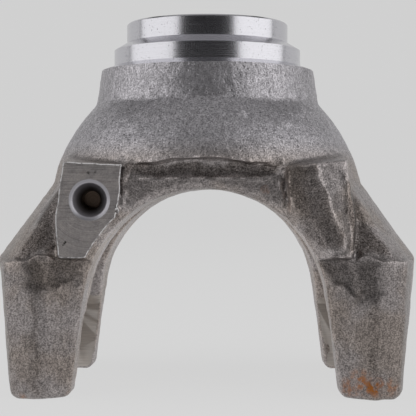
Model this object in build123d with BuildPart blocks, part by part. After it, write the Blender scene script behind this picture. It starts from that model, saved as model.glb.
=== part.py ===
"""Weld-on forged yoke: one steel forging with a turned tube pilot, a bell and two channel arms.

Z is the axis of the hub and the tube, X runs across the two arms, and Y runs through the arch.
The origin is on the hub axis, in the plane of the four leg ends that the yoke stands on.
"""

import os
from math import cos, radians, sin, sqrt, tan

from build123d import *

os.makedirs("parts", exist_ok=True)

# Turned hub, from the top down
overall_height = 168.7
pilot_radius = 38.05
pilot_length = 9.1
pilot_edge = 0.7
weld_bevel_height = 3.6
tube_land_radius = 44.0
tube_land_length = 7.4
shoulder_step = 2.4

# Forged neck and bell
neck_radius = 50.2
neck_foot_radius = 52.4
neck_blend_radius = 13.0
bell_radius = 73.9
bell_centre_height = 78.2
bell_overlap = 8.6
bell_lip_height = 103.0

# Blind pocket forged into the tube side of the hub
pocket_mouth_radius = 27.0
pocket_floor_height = 112.0
pocket_nose_height = 7.0
pocket_draft = 5.0

# Arch between the arms
arch_radius = 53.4
arch_crown_height = 90.8
arch_draft = 7.6

# Arms, as plan sections at the leg ends and at the parting height
parting_height = 60.4
arm_root_x = 38.0
foot_root_y = 38.5
foot_crest_x = 71.5
foot_crest_y = 59.5
foot_corner_x = 83.6
foot_corner_y = 55.2
foot_back_x = 90.2
parting_root_y = 50.5
parting_crest_x = 72.0
parting_crest_y = 63.6
parting_corner_x = 86.6
parting_corner_y = 57.0
parting_back_x = 96.2
arm_crest_radius = 12.0
arm_corner_radius = 5.0
wing_crest_chamfer = 2.0
wing_corner_chamfer = 3.0
foot_edge_chamfer = 2.0
flash_land = 1.2

# Wings that carry the arms up into the bell
wing_root_y = 58.5
wing_crest_x = 80.0
wing_crest_y = 59.5
wing_top_root_y = 46.0
wing_top_crest_x = 58.0
wing_top_crest_y = 34.0
wing_top_corner_x = 62.0
wing_top_corner_y = 19.0
wing_top_back_x = 65.6

# Crown of the arch, set back under the bell between the pads
crown_half_width = 50.0
crown_flat_half_width = 31.0
crown_end_half_width = 36.5
crown_end_y = 63.0
crown_face_y = 60.6
crown_step_y = 61.4
crown_step_height = 95.3

# Pads on the shoulders of the arms
pad_inner_x = 35.0
pad_inner_height = 101.0
pad_inner_foot_x = 37.5
pad_outer_x = 63.5
pad_outer_height = 78.0
pad_corner_x = 60.0
pad_corner_height = 102.4
pad_foot_x = 62.4
pad_foot_height = 61.3
pad_depth = 32.0
pad_draft = 6.0
machined_pad_y = 62.8
raw_pad_y = 65.6
raw_ridge_top_x = 46.0
raw_ridge_foot_x = 60.5
raw_facet_angle = 14.0
arch_edge_chamfer = 3.0
arch_edge_angle = 45.0

# Locating hole in the machined pad
hole_x = 49.0
hole_height = 86.0
hole_radius = 3.9
hole_depth = 15.0
hole_seat_radius = 7.4
hole_seat_depth = 7.0
hole_lead_radius = 8.8
hole_lead_depth = 0.7

# Channel forged into the inner side of the arch and the arms
channel_radius = 60.0
channel_crown_height = 95.6
channel_draft = 3.0
channel_foot_half_width = 35.0
channel_middle_half_width = 24.0
channel_middle_height = 45.0
channel_neck_half_width = 13.0
channel_neck_height = 70.0
channel_crown_half_width = 10.0

# Slot machined between the two legs of each arm
slot_half_width = 36.2
slot_wall_height = 32.7
slot_apex_height = 46.0
slot_floor_x = 72.0

# Reach of cutting shapes past the solid, and the tolerance when picking corners by place
far = 200.0
below = 5.0
same_place = 0.01


def arm_section(height, root_y, crest, corner, back_x, ease, crest_size, corner_size):
    """Draw the plan section of the right-hand arm: two crests, two outer corners, a bowed back."""
    with BuildSketch(Plane.XY.offset(height)) as section:
        with BuildLine():
            Polyline((arm_root_x, root_y), crest, corner)
            ThreePointArc(corner, (back_x, 0), (corner[0], -corner[1]))
            Polyline(
                (corner[0], -corner[1]),
                (crest[0], -crest[1]),
                (arm_root_x, -root_y),
                (arm_root_x, root_y),
            )
        make_face()
        crests = section.vertices().filter_by(lambda v: abs(v.X - crest[0]) < same_place)
        ease(crests, crest_size)
        corners = section.vertices().filter_by(lambda v: abs(v.X - corner[0]) < same_place)
        ease(corners, corner_size)
    return section.sketch


def arch_sketch(radius, crown_height, draft, plane):
    """Draw a round arch whose sides open downwards by the draft, on a plane that faces -Y."""
    side_x = radius * cos(radians(draft))
    side_height = crown_height - radius + radius * sin(radians(draft))
    foot_x = side_x + (side_height + below) * tan(radians(draft))
    with BuildSketch(plane) as arch:
        with BuildLine():
            ThreePointArc((-side_x, side_height), (0, crown_height), (side_x, side_height))
            Polyline(
                (side_x, side_height),
                (foot_x, -below),
                (-foot_x, -below),
                (-side_x, side_height),
            )
        make_face()
    return arch.sketch


# Space of the arch, from front to back
with BuildPart() as arch_space:
    extrude(
        arch_sketch(arch_radius, arch_crown_height, arch_draft, Plane.XZ),
        amount=far,
        both=True,
    )

# Bevel along the front edge of the arch, on the pads and the crown
edge_reach = raw_pad_y - machined_pad_y + arch_edge_chamfer
with BuildPart() as arch_edge:
    extrude(
        arch_sketch(
            arch_radius + edge_reach,
            arch_crown_height + edge_reach,
            arch_draft,
            Plane.XZ.offset(raw_pad_y),
        ),
        amount=-edge_reach / tan(radians(arch_edge_angle)),
        taper=arch_edge_angle,
    )

# Legs of the right-hand arm, drafted towards the leg ends, with chamfered end edges
with BuildPart() as legs:
    loft(
        [
            arm_section(
                0,
                foot_root_y,
                (foot_crest_x, foot_crest_y),
                (foot_corner_x, foot_corner_y),
                foot_back_x,
                fillet,
                arm_crest_radius,
                arm_corner_radius,
            ),
            arm_section(
                parting_height,
                parting_root_y,
                (parting_crest_x, parting_crest_y),
                (parting_corner_x, parting_corner_y),
                parting_back_x,
                fillet,
                arm_crest_radius,
                arm_corner_radius,
            ),
        ],
        ruled=True,
    )
    add(arch_space.part, mode=Mode.SUBTRACT)
    chamfer(legs.edges().group_by(Axis.Z)[0], foot_edge_chamfer)

# Wing above the parting line, a flash land smaller than the legs, drafted into the bell
with BuildPart() as wing:
    loft(
        [
            arm_section(
                parting_height,
                wing_root_y,
                (wing_crest_x, wing_crest_y),
                (parting_corner_x - flash_land, parting_corner_y - 2 * flash_land),
                parting_back_x - flash_land / 2,
                chamfer,
                wing_crest_chamfer,
                wing_corner_chamfer,
            ),
            arm_section(
                bell_lip_height,
                wing_top_root_y,
                (wing_top_crest_x, wing_top_crest_y),
                (wing_top_corner_x, wing_top_corner_y),
                wing_top_back_x,
                chamfer,
                wing_crest_chamfer,
                wing_corner_chamfer,
            ),
        ],
        ruled=True,
    )

# Pad as forged: one facet square to Y, one falling away outwards from a slanting ridge
pad_outline = [
    (pad_inner_x, pad_inner_height),
    (pad_corner_x, pad_corner_height),
    (pad_outer_x, pad_outer_height),
    (pad_foot_x, pad_foot_height),
    (pad_inner_foot_x, pad_foot_height),
]
with BuildPart() as raw_pad:
    with BuildSketch(Plane.XZ.offset(raw_pad_y)):
        Polygon(*pad_outline, align=None)
    extrude(amount=-pad_depth, taper=-pad_draft)
    ridge = Vector(raw_ridge_top_x - raw_ridge_foot_x, 0, pad_corner_height - pad_foot_height)
    outwards = ridge.normalized().cross(Vector(0, -1, 0))
    facet_normal = Vector(0, -cos(radians(raw_facet_angle)), 0) + outwards * sin(
        radians(raw_facet_angle)
    )
    split(
        bisect_by=Plane(
            origin=(raw_ridge_top_x, -raw_pad_y, pad_corner_height),
            z_dir=facet_normal,
        ),
        keep=Keep.BOTTOM,
    )

# The same pad milled flat
with BuildPart() as flat_pad:
    with BuildSketch(Plane.XZ.offset(machined_pad_y)):
        Polygon(*pad_outline, align=None)
    extrude(amount=-pad_depth, taper=-pad_draft)

# Channel of the inner side: as deep as its own arch, as wide as its front view
with BuildPart() as channel:
    extrude(
        arch_sketch(channel_radius, channel_crown_height, channel_draft, Plane.XZ),
        amount=far,
        both=True,
    )
    with BuildSketch(Plane.YZ):
        with BuildLine():
            Polyline(
                (-channel_crown_half_width, channel_crown_height + below),
                (-channel_neck_half_width, channel_neck_height),
                (-channel_middle_half_width, channel_middle_height),
                (-channel_foot_half_width, slot_wall_height),
                (-channel_foot_half_width, -below),
                (channel_foot_half_width, -below),
                (channel_foot_half_width, slot_wall_height),
                (channel_middle_half_width, channel_middle_height),
                (channel_neck_half_width, channel_neck_height),
                (channel_crown_half_width, channel_crown_height + below),
                close=True,
            )
        make_face()
    extrude(amount=far, both=True, mode=Mode.INTERSECT)

# Slot between the legs of each arm, with an arched top
with BuildPart() as slot:
    with BuildSketch(Plane.YZ):
        with BuildLine():
            ThreePointArc(
                (-slot_half_width, slot_wall_height),
                (0, slot_apex_height),
                (slot_half_width, slot_wall_height),
            )
            Polyline(
                (slot_half_width, slot_wall_height),
                (slot_half_width, -below),
                (-slot_half_width, -below),
                (-slot_half_width, slot_wall_height),
            )
        make_face()
    extrude(amount=slot_floor_x, both=True)

# Locating hole: a blind drilling under a conical seat and a lead-in
with BuildPart(
    Plane(origin=(-hole_x, -machined_pad_y, hole_height), x_dir=(1, 0, 0), z_dir=(0, -1, 0))
) as locating_hole:
    from_mouth = (Align.CENTER, Align.CENTER, Align.MAX)
    Cylinder(hole_radius, hole_depth, align=from_mouth)
    Cone(hole_radius, hole_seat_radius, hole_seat_depth, align=from_mouth)
    Cone(hole_seat_radius, hole_lead_radius, hole_lead_depth, align=from_mouth)

# Heights and radii that follow from the hub's sizes
pilot_base = overall_height - pilot_length
land_top = pilot_base - weld_bevel_height
land_base = land_top - tube_land_length
shoulder_height = land_base - shoulder_step
neck_foot_height = bell_centre_height + sqrt(bell_radius**2 - neck_foot_radius**2)
bell_base_height = pad_inner_height - bell_overlap
bell_base_radius = sqrt(bell_radius**2 - (bell_base_height - bell_centre_height) ** 2)

# Pocket in the hub, drafted towards a shallow conical nose
wall_foot_height = pocket_floor_height + pocket_nose_height
wall_foot_radius = pocket_mouth_radius - (overall_height - wall_foot_height) * tan(
    radians(pocket_draft)
)
with BuildPart() as pocket:
    with BuildSketch(Plane.XZ):
        with BuildLine():
            Polyline(
                (0, pocket_floor_height),
                (wall_foot_radius, wall_foot_height),
                (pocket_mouth_radius, overall_height),
                (0, overall_height),
                close=True,
            )
        make_face()
    revolve(axis=Axis.Z)

with BuildPart() as forged_yoke:
    # Hub, neck and bell
    with BuildSketch(Plane.XZ) as hub_profile:
        with BuildLine():
            Polyline(
                (neck_foot_radius, neck_foot_height),
                (neck_radius, shoulder_height),
                (tube_land_radius, land_base),
                (tube_land_radius, land_top),
                (pilot_radius, pilot_base),
                (pilot_radius, overall_height - pilot_edge),
                (pilot_radius - pilot_edge, overall_height),
                (0, overall_height),
                (0, bell_base_height),
                (bell_base_radius, bell_base_height),
            )
            RadiusArc(
                (bell_base_radius, bell_base_height),
                (neck_foot_radius, neck_foot_height),
                -bell_radius,
            )
        make_face()
        corners = hub_profile.vertices()
        fillet(
            corners.filter_by(lambda v: abs(v.Z - neck_foot_height) < same_place),
            neck_blend_radius,
        )
    revolve(axis=Axis.Z)

    # Set-back under the bell, front and back, higher between the ends of the crown
    for width, lip_height in (
        (far, pad_inner_height),
        (2 * crown_flat_half_width, bell_lip_height),
    ):
        with BuildSketch(Plane.XY.offset(bell_base_height - below)):
            with Locations((0, crown_face_y + far / 2), (0, -crown_face_y - far / 2)):
                Rectangle(width, far)
        extrude(amount=lip_height - bell_base_height + below, mode=Mode.SUBTRACT)

    # Crown of the arch: a set-back whose ends turn forwards to the pads, over a wider foot
    with BuildSketch(Plane.XY.offset(crown_step_height)):
        Polygon(
            (-crown_half_width, crown_end_y),
            (-crown_end_half_width, crown_end_y),
            (-crown_flat_half_width, crown_face_y),
            (crown_flat_half_width, crown_face_y),
            (crown_end_half_width, crown_end_y),
            (crown_half_width, crown_end_y),
            (crown_half_width, -crown_end_y),
            (crown_end_half_width, -crown_end_y),
            (crown_flat_half_width, -crown_face_y),
            (-crown_flat_half_width, -crown_face_y),
            (-crown_end_half_width, -crown_end_y),
            (-crown_half_width, -crown_end_y),
            align=None,
        )
    extrude(amount=pad_inner_height - crown_step_height)
    with BuildSketch(Plane.XY.offset(parting_height)):
        Rectangle(2 * crown_half_width, 2 * crown_step_y)
    extrude(amount=crown_step_height - parting_height)

    # Arms and wings
    add(legs.part)
    add(mirror(legs.part, about=Plane.YZ))
    add(wing.part)
    add(mirror(wing.part, about=Plane.YZ))

    # Pads: the left front one is milled, the other three are as forged
    add(mirror(flat_pad.part, about=Plane.YZ))
    add(raw_pad.part)
    add(mirror(raw_pad.part, about=Plane.XZ))
    add(mirror(mirror(raw_pad.part, about=Plane.XZ), about=Plane.YZ))

    # Spaces and machined features
    add(arch_space.part, mode=Mode.SUBTRACT)
    add(arch_edge.part, mode=Mode.SUBTRACT)
    add(mirror(arch_edge.part, about=Plane.XZ), mode=Mode.SUBTRACT)
    add(channel.part, mode=Mode.SUBTRACT)
    add(slot.part, mode=Mode.SUBTRACT)
    add(locating_hole.part, mode=Mode.SUBTRACT)
    add(pocket.part, mode=Mode.SUBTRACT)

forged_yoke.part.label = "forged_yoke"
export_step(forged_yoke.part, "parts/forged_yoke.step")
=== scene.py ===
"""Looks of a weld-on forged yoke: a blasted forging skin with turned, milled and drilled faces cut into it.

The forging is made the way the shop makes it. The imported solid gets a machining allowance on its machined
faces, a fine skin is drawn over it and roughened, and each machine tool then cuts its own clean surface.
"""

import logging
from collections.abc import Sequence
from dataclasses import dataclass
from enum import Enum
from math import cos, pi, radians, sin

import bpy
import numpy as np
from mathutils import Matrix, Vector


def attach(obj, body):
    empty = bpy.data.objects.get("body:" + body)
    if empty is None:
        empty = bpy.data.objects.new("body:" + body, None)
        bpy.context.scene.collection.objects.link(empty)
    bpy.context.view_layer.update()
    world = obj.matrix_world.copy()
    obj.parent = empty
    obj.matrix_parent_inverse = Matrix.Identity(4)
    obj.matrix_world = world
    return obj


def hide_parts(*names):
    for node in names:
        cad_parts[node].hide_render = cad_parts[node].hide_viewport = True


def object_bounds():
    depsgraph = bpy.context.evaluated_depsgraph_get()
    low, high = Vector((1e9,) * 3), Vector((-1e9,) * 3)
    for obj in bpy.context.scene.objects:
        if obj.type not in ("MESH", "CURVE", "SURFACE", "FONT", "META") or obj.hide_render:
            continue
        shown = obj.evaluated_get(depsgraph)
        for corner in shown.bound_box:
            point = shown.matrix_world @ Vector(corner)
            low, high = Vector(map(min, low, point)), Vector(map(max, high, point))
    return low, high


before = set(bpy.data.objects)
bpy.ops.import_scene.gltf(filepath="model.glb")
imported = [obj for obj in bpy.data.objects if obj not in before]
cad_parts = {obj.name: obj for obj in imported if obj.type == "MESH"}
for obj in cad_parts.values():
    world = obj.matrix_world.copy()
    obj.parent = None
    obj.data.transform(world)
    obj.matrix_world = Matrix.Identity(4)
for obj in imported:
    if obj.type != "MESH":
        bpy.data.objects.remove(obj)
CAD_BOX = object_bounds()

MM = 0.001
PHOTO_PX = 416
NODE = "forged_yoke"
WEAR_AND_PAINTED_SHADING = "wear_and_painted_shading"
SCALE_AND_PAINTED_SHADE = "scale_and_painted_shade"
SMOOTH_ANGLE_DEG = 35
MERGE_GAP = 0.002
PLANE_GAP = 0.05
SQUARE_ON = 0.99

# The milled pad's plane, and the X and Z of its hole, in millimetres
PAD_Y = -62.8
HOLE = (-49.0, 86.0)

BUMP = "ShaderNodeBump"
MAP_RANGE = "ShaderNodeMapRange"
MATH = "ShaderNodeMath"
MIX = "ShaderNodeMix"
NOISE = "ShaderNodeTexNoise"
VECTOR_MATH = "ShaderNodeVectorMath"

log = logging.getLogger("yoke")

Point = tuple[float, float]
Place = tuple[float, float, float]
Socket = bpy.types.NodeSocket
Source = bpy.types.Node | bpy.types.NodeSocket


class Finish(Enum):
    """The surfaces of the part, in the order of the mesh's material slots."""

    FORGED = 0
    TURNED = 1
    MILLED_PAD = 2
    MILLED_SLOT = 3
    DRILLED = 4
    BURR = 5


class Side(Enum):
    """The side of the part that a mark lies on, as the sign of Y. Its paths are drawn in X and Z."""

    FRONT = -1
    BACK = 1


def linear(code: str) -> tuple[float, float, float, float]:
    """Turn an sRGB hex colour into linear RGBA.

    Args:
        code: Six hex digits after a hash sign.

    Returns:
        Linear red, green, blue and an alpha of one.
    """
    parts = [int(code[i : i + 2], 16) / 255 for i in (1, 3, 5)]
    red, green, blue = (p / 12.92 if p <= 0.04045 else ((p + 0.055) / 1.055) ** 2.4 for p in parts)
    return red, green, blue, 1.0


def first_output(value: object) -> object:
    """Take a node's first output, and leave any other value as it is."""
    return value.outputs[0] if isinstance(value, bpy.types.Node) else value


def add_node(
    tree: bpy.types.NodeTree,
    kind: str,
    settings: dict | None = None,
    inputs: dict | None = None,
) -> bpy.types.Node:
    """Add a node with its settings, its values and its links.

    Args:
        tree: The node tree.
        kind: The node's type name.
        settings: Attributes of the node.
        inputs: Values, output sockets or nodes for the inputs, by name or index. A node stands for its
            first output.

    Returns:
        The new node.
    """
    node = tree.nodes.new(kind)
    for name, value in (settings or {}).items():
        setattr(node, name, value)
    for name, given in (inputs or {}).items():
        value = first_output(given)
        if isinstance(value, Socket):
            tree.links.new(value, node.inputs[name])
        else:
            node.inputs[name].default_value = value
    return node


def select_only(piece: bpy.types.Object) -> None:
    """Make one object the active and only selected one.

    Args:
        piece: The object.
    """
    for other in bpy.context.selected_objects:
        other.select_set(False)
    piece.select_set(True)
    bpy.context.view_layer.objects.active = piece


def apply_modifier(piece: bpy.types.Object, kind: str, **settings: object) -> None:
    """Add a modifier to a piece and apply it.

    Args:
        piece: The object.
        kind: The modifier's type name.
        settings: Attributes of the modifier.
    """
    select_only(piece)
    modifier = piece.modifiers.new(kind.lower(), kind)
    for name, value in settings.items():
        setattr(modifier, name, value)
    bpy.ops.object.modifier_apply(modifier=modifier.name)


def read_points(piece: bpy.types.Object) -> np.ndarray:
    """Read a piece's vertices.

    Args:
        piece: The object.

    Returns:
        Rows of X, Y and Z in millimetres.
    """
    flat = np.empty(len(piece.data.vertices) * 3, dtype=np.float32)
    piece.data.vertices.foreach_get("co", flat)
    return flat.reshape(-1, 3).astype(float) / MM


def write_points(piece: bpy.types.Object, points: np.ndarray) -> None:
    """Write rows of millimetres back to a piece's vertices."""
    piece.data.vertices.foreach_set("co", (points * MM).astype(np.float32).ravel())
    piece.data.update()


def read_normals(piece: bpy.types.Object) -> np.ndarray:
    """Read a piece's vertex normals.

    Args:
        piece: The object.

    Returns:
        One row for each vertex.
    """
    flat = np.empty(len(piece.data.vertices) * 3, dtype=np.float32)
    piece.data.vertex_normals.foreach_get("vector", flat)
    return flat.reshape(-1, 3).astype(float)


def read_values(piece: bpy.types.Object, name: str) -> np.ndarray:
    """Read one of a piece's attributes.

    Args:
        piece: The object.
        name: The attribute's name.

    Returns:
        One value for each vertex.
    """
    values = np.empty(len(piece.data.vertices), dtype=np.float32)
    piece.data.attributes[name].data.foreach_get("value", values)
    return values.astype(float)


def read_faces(piece: bpy.types.Object) -> tuple[np.ndarray, np.ndarray]:
    """Read a piece's faces.

    Args:
        piece: The object.

    Returns:
        The faces' centres in millimetres, and their normals.
    """
    count = len(piece.data.polygons) * 3
    centres = np.empty(count, dtype=np.float32)
    normals = np.empty(count, dtype=np.float32)
    piece.data.polygons.foreach_get("center", centres)
    piece.data.polygons.foreach_get("normal", normals)
    return centres.reshape(-1, 3) / MM, normals.reshape(-1, 3)


def read_finishes(piece: bpy.types.Object) -> np.ndarray:
    """Read which finish each of a piece's faces has.

    Args:
        piece: The object.

    Returns:
        One material slot for each face.
    """
    kinds = np.empty(len(piece.data.polygons), dtype=np.int32)
    piece.data.polygons.foreach_get("material_index", kinds)
    return kinds


def edit_faces(piece: bpy.types.Object, chosen: np.ndarray) -> None:
    """Enter edit mode with only the chosen faces selected.

    Args:
        piece: The object.
        chosen: One truth value for each face.
    """
    select_only(piece)
    bpy.context.tool_settings.mesh_select_mode = (False, False, True)
    bpy.ops.object.mode_set(mode="EDIT")
    bpy.ops.mesh.select_all(action="DESELECT")
    bpy.ops.object.mode_set(mode="OBJECT")
    piece.data.polygons.foreach_set("select", chosen)
    bpy.ops.object.mode_set(mode="EDIT")


def close_up(piece: bpy.types.Object) -> None:
    """Merge a closed shell's doubled vertices and turn its faces outwards.

    Args:
        piece: The object.
    """
    select_only(piece)
    bpy.ops.object.mode_set(mode="EDIT")
    bpy.ops.mesh.select_all(action="SELECT")
    bpy.ops.mesh.remove_doubles(threshold=MERGE_GAP * MM)
    bpy.ops.mesh.normals_make_consistent(inside=False)
    bpy.ops.object.mode_set(mode="OBJECT")


def turned(name: str, profile: Sequence[Point], steps: int) -> bpy.types.Object:
    """Spin a closed profile about the Z axis.

    Args:
        name: Name of the new object.
        profile: Corners as radius and height in millimetres, in order.
        steps: Number of steps round the axis.

    Returns:
        The closed body of revolution.
    """
    bpy.ops.mesh.primitive_circle_add(vertices=len(profile), fill_type="NOTHING")
    piece = bpy.context.object
    piece.name = name
    for vertex, (radius, height) in zip(piece.data.vertices, profile):
        vertex.co = Vector((radius, 0, height)) * MM
    select_only(piece)
    bpy.ops.object.mode_set(mode="EDIT")
    bpy.ops.mesh.select_all(action="SELECT")
    bpy.ops.mesh.spin(steps=steps, angle=2 * pi, center=(0, 0, 0), axis=(0, 0, 1))
    bpy.ops.object.mode_set(mode="OBJECT")
    close_up(piece)
    return piece


def block(name: str, low: Place, high: Place) -> bpy.types.Object:
    """Add a box between two corners.

    Args:
        name: Name of the new object.
        low: Its lowest corner in millimetres.
        high: Its highest corner in millimetres.

    Returns:
        The box.
    """
    middle = [(a + b) / 2 * MM for a, b in zip(low, high)]
    bpy.ops.mesh.primitive_cube_add(size=1, location=middle)
    piece = bpy.context.object
    piece.name = name
    piece.scale = [(b - a) * MM for a, b in zip(low, high)]
    settle(piece)
    return piece


def settle(piece: bpy.types.Object) -> None:
    """Put the object's place, turn and scale into its mesh."""
    select_only(piece)
    bpy.ops.object.transform_apply(location=True, rotation=True, scale=True)


def join(target: bpy.types.Object, *others: bpy.types.Object) -> None:
    """Join other objects into the target's mesh.

    Args:
        target: The object that stays.
        others: The objects that go into it.
    """
    select_only(target)
    for other in others:
        other.select_set(True)
    bpy.ops.object.join()


def cut(piece: bpy.types.Object, tool: bpy.types.Object, finish: Finish) -> None:
    """Cut a piece with a tool that leaves its own finish, and put the tool away.

    Args:
        piece: The piece, with one material slot for each finish.
        tool: The closed cutting body.
        finish: The finish of the new faces.
    """
    tool.data.materials.clear()
    for material in piece.data.materials:
        tool.data.materials.append(material)
    count = len(tool.data.polygons)
    tool.data.polygons.foreach_set("material_index", np.full(count, finish.value, dtype=np.int32))
    apply_modifier(
        piece,
        "BOOLEAN",
        object=tool,
        operation="DIFFERENCE",
        solver="MANIFOLD",
        material_mode="INDEX",
    )
    bpy.data.objects.remove(tool, do_unlink=True)


def distance_to_path(spots: np.ndarray, path: Sequence[Point]) -> np.ndarray:
    """Measure how far flat points lie from a path of straight runs.

    Args:
        spots: Points as rows of two.
        path: Corners of the path.

    Returns:
        One distance for each point.
    """
    nearest = np.full(len(spots), np.inf)
    for start, end in zip(path[:-1], path[1:]):
        run = np.subtract(end, start)
        along = np.clip((spots - start) @ run / (run @ run), 0, 1)
        gap = spots - start - along[:, None] * run
        nearest = np.minimum(nearest, np.hypot(gap[:, 0], gap[:, 1]))
    return nearest


def inside_outline(spots: np.ndarray, outline: Sequence[Point]) -> np.ndarray:
    """Tell which flat points lie inside a closed outline.

    Args:
        spots: Points as rows of two.
        outline: Corners of the outline, in order.

    Returns:
        One truth value for each point.
    """
    inside = np.zeros(len(spots), dtype=bool)
    corners = list(outline)
    for (x0, z0), (x1, z1) in zip(corners, corners[1:] + corners[:1]):
        crosses = (z0 > spots[:, 1]) != (z1 > spots[:, 1])
        reach = x0 + (spots[:, 1] - z0) * (x1 - x0) / (z1 - z0 + 1e-9)
        inside ^= crosses & (spots[:, 0] < reach)
    return inside


def hand_drawn(points: np.ndarray, reach: float) -> np.ndarray:
    """Take points' X and Z, a little to and fro, so that forged lines and patches never run straight.

    Args:
        points: Points as rows of three.
        reach: How far they stray, in millimetres.

    Returns:
        Rows of X and Z.
    """
    x, z = points[:, 0], points[:, 2]
    # Waves of about 20 mm, with waves of about 7 mm on them
    stray_x = np.sin(z / 2.9 + 1.4 * np.sin(x / 5.3)) + 0.4 * np.sin(z / 1.1 + x / 1.7)
    stray_z = np.sin(x / 3.3 + 1.2 * np.sin(z / 4.7)) + 0.4 * np.sin(x / 1.2 - z / 1.5)
    return np.column_stack((x + reach * stray_x, z + reach * stray_z))


def mirrored(path: Sequence[Point]) -> tuple[Point, ...]:
    """Mirror a path to the other arm."""
    return tuple((-x, z) for x, z in path)


@dataclass(frozen=True)
class Ridge:
    """A raised line of flash or a sunk line on the skin, in millimetres.

    Its path is in X and Z. A height below zero makes a groove.
    """

    path: tuple[Point, ...]
    half_width: float
    height: float
    side: Side = Side.FRONT
    stray: float = 0.35

    def lift(self, points: np.ndarray) -> np.ndarray:
        """Work out how far each point moves along its normal."""
        gap = distance_to_path(hand_drawn(points, self.stray), self.path)
        return self.height * np.exp(-((gap / self.half_width) ** 2))


@dataclass(frozen=True)
class Field:
    """A raised or sunk patch of the skin with soft edges, in millimetres.

    Its outline is in X and Z. A height below zero sinks it.
    """

    outline: tuple[Point, ...]
    height: float
    softness: float
    side: Side = Side.FRONT
    stray: float = 0.9

    def lift(self, points: np.ndarray) -> np.ndarray:
        """Work out how far each point moves along its normal.

        Args:
            points: Points as rows of three.

        Returns:
            One length for each point.
        """
        spots = hand_drawn(points, self.stray)
        gap = distance_to_path(spots, (*self.outline, self.outline[0]))
        depth = np.where(inside_outline(spots, self.outline), gap, -gap)
        share = np.clip(depth / self.softness + 0.5, 0, 1)
        return self.height * share * share * (3 - 2 * share)


@dataclass(frozen=True)
class Dent:
    """A round pit or bump in the skin, in millimetres. A height below zero makes a pit."""

    place: Point
    radius: float
    height: float
    side: Side = Side.FRONT

    def lift(self, points: np.ndarray) -> np.ndarray:
        """Work out how far each point moves along its normal."""
        gap = np.hypot(points[:, 0] - self.place[0], points[:, 2] - self.place[1])
        return self.height * np.exp(-((gap / self.radius) ** 2))


@dataclass(frozen=True)
class Unevenness:
    """One grain of the forging's uneven surface, and how deep it goes, in millimetres."""

    name: str
    grain: float
    depth: float


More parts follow.
